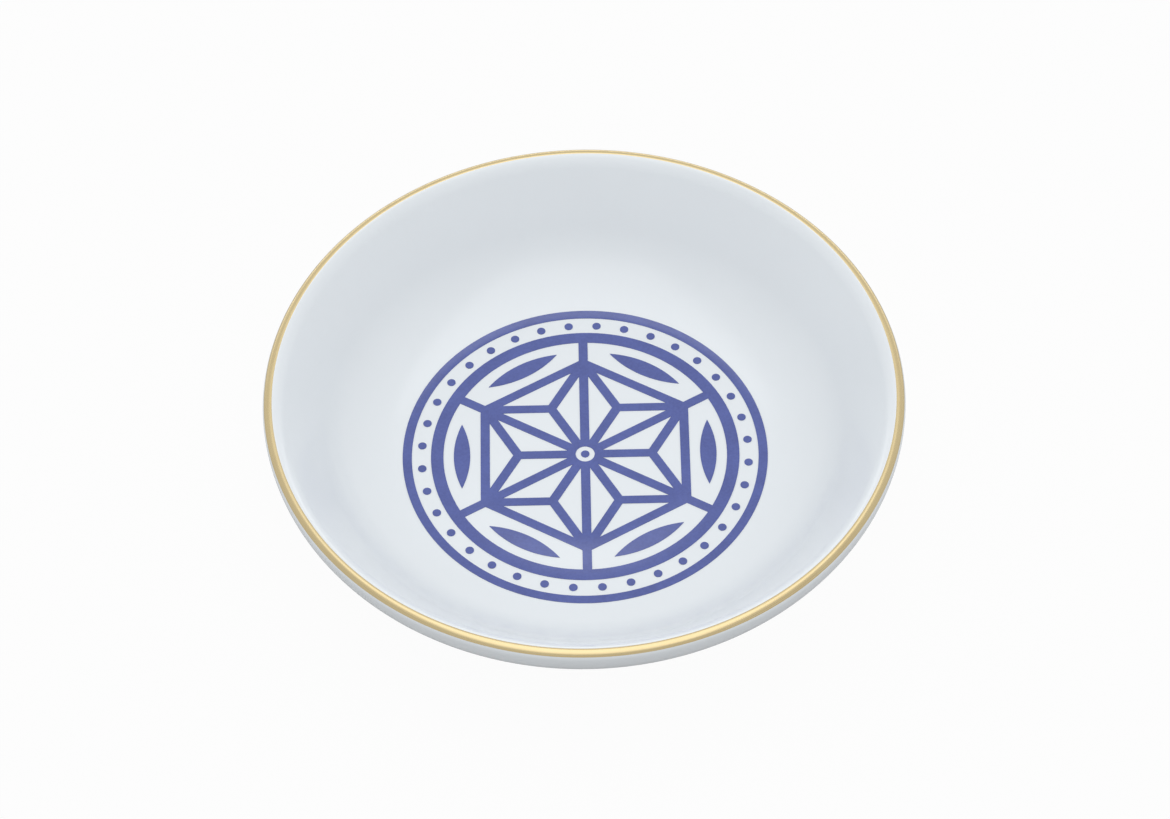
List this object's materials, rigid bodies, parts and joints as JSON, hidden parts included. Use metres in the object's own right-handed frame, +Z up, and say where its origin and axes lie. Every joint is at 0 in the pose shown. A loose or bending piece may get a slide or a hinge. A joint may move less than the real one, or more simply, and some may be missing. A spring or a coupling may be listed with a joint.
{
  "type": "soy sauce dish",
  "caption": "Small round white porcelain dish with a shallow flared well on a low foot ring, a gold line on the lip and a blue printed medallion; holds soy sauce or a dip.",
  "frame": {"origin": "centre of the foot ring's standing edge, on the table", "axes": "+Z up along the dish's axis of revolution, -Y towards the viewer in the picture, +X to the right"},
  "size_m": [0.096, 0.096, 0.0209],
  "materials": {
    "bare_porcelain": "matte",
    "white_glaze": "gloss",
    "bright_gold": "polished",
    "cobalt_print": "gloss"
  },
  "bodies": {
    "root": {"porcelain_body": "bare_porcelain", "glaze_coat": "white_glaze", "base_glaze": "white_glaze", "gold_rim_line": "bright_gold", "print_border_line": "cobalt_print", "print_beads": "cobalt_print", "print_hemp_leaf_star": "cobalt_print", "print_leaves": "cobalt_print", "print_centre_dot": "cobalt_print"}
  },
  "joints": []
}
